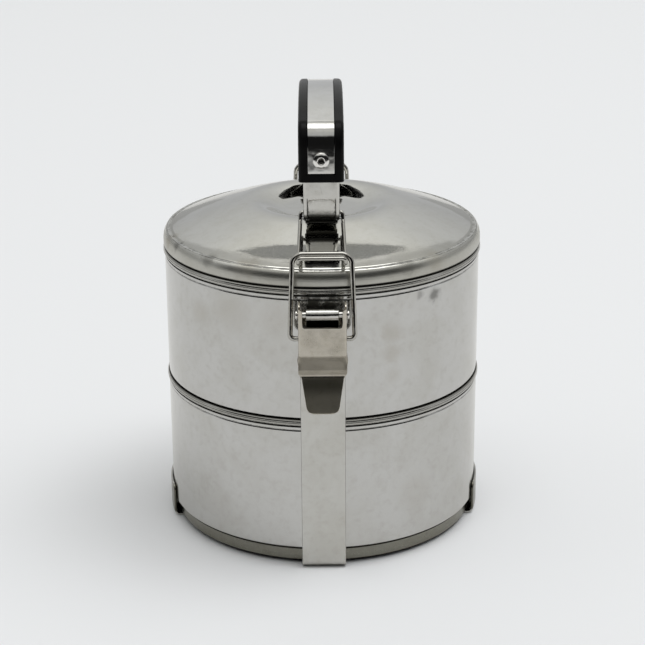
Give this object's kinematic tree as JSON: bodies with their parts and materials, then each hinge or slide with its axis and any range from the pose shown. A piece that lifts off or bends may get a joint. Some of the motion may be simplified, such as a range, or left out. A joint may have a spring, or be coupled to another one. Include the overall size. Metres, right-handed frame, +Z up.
{
  "type": "tiffin carrier",
  "caption": "Stacked steel tiffin carrier: nesting bowls and a domed lid in a strap frame with over-centre latches, wire bails and a black carrying handle.",
  "frame": {"origin": "on the ground, under the centre of the carrier", "axes": "+Z up; -Y towards the front latch, +Y towards the rear latch; X across the carrier, towards the two side ears"},
  "size_m": [0.1422, 0.172, 0.1963],
  "materials": {
    "bowl_steel": "satin stainless steel with fine scratches",
    "strap_steel": "satin stainless steel strip",
    "lever_steel": "warm grey plated steel pressing",
    "band_steel": "fine brushed stainless steel inlay",
    "wire_steel": "bright drawn steel wire",
    "black_plastic": "semi-gloss black moulded plastic"
  },
  "bodies": {
    "frame": {"frame_strap": "strap_steel", "base_cross_strip": "strap_steel", "hinge_pin_front": "wire_steel", "hinge_pin_rear": "wire_steel"},
    "latch_front": {"lever_front": "lever_steel"},
    "latch_rear": {"lever_rear": "lever_steel"},
    "bail_front": {"bail_front": "wire_steel"},
    "bail_rear": {"bail_rear": "wire_steel"},
    "lower_bowl": {"lower_bowl": "bowl_steel"},
    "upper_bowl": {"upper_bowl": "bowl_steel"},
    "lid": {"lid": "bowl_steel"},
    "handle": {"handle_bracket": "strap_steel", "handle_grip": "black_plastic", "handle_band": "band_steel", "rivet_front": "wire_steel", "rivet_rear": "wire_steel"},
    "hook_front": {"hook_link_front": "wire_steel"},
    "hook_rear": {"hook_link_rear": "wire_steel"}
  },
  "joints": [
    {"name": "lever_front_hinge", "type": "hinge", "parent": "frame", "child": "latch_front", "pos_m": [0, -0.0763, 0.1178], "axis": [-1, 0, 0], "range_deg": [0, 100]},
    {"name": "lever_rear_hinge", "type": "hinge", "parent": "frame", "child": "latch_rear", "pos_m": [0, 0.0763, 0.1178], "axis": [1, 0, 0], "range_deg": [0, 100]},
    {"name": "bail_front_hinge", "type": "hinge", "parent": "latch_front", "child": "bail_front", "pos_m": [0, -0.0759, 0.1072], "axis": [-1, 0, 0], "range_deg": [-82, 0]},
    {"name": "bail_rear_hinge", "type": "hinge", "parent": "latch_rear", "child": "bail_rear", "pos_m": [0, 0.0759, 0.1072], "axis": [1, 0, 0], "range_deg": [-82, 0]},
    {"name": "lower_bowl_lift", "type": "slide", "parent": "frame", "child": "lower_bowl", "axis": [0, 0, 1], "range_m": [0, 0.15]},
    {"name": "upper_bowl_lift", "type": "slide", "parent": "lower_bowl", "child": "upper_bowl", "axis": [0, 0, 1], "range_m": [0, 0.06]},
    {"name": "lid_lift", "type": "slide", "parent": "upper_bowl", "child": "lid", "axis": [0, 0, 1], "range_m": [0, 0.06]},
    {"name": "handle_lift", "type": "slide", "parent": "lid", "child": "handle", "axis": [0, 0, 1], "range_m": [0, 0.06]},
    {"name": "hook_front_hinge", "type": "hinge", "parent": "handle", "child": "hook_front", "pos_m": [0, -0.0405, 0.1511], "axis": [-1, 0, 0], "range_deg": [0, 75]},
    {"name": "hook_rear_hinge", "type": "hinge", "parent": "handle", "child": "hook_rear", "pos_m": [0, 0.0405, 0.1511], "axis": [1, 0, 0], "range_deg": [0, 75]}
  ],
  "couplings": [
    {"joint": "bail_front_hinge", "follows": "lever_front_hinge", "ratio": -0.81},
    {"joint": "bail_rear_hinge", "follows": "lever_rear_hinge", "ratio": -0.81}
  ]
}
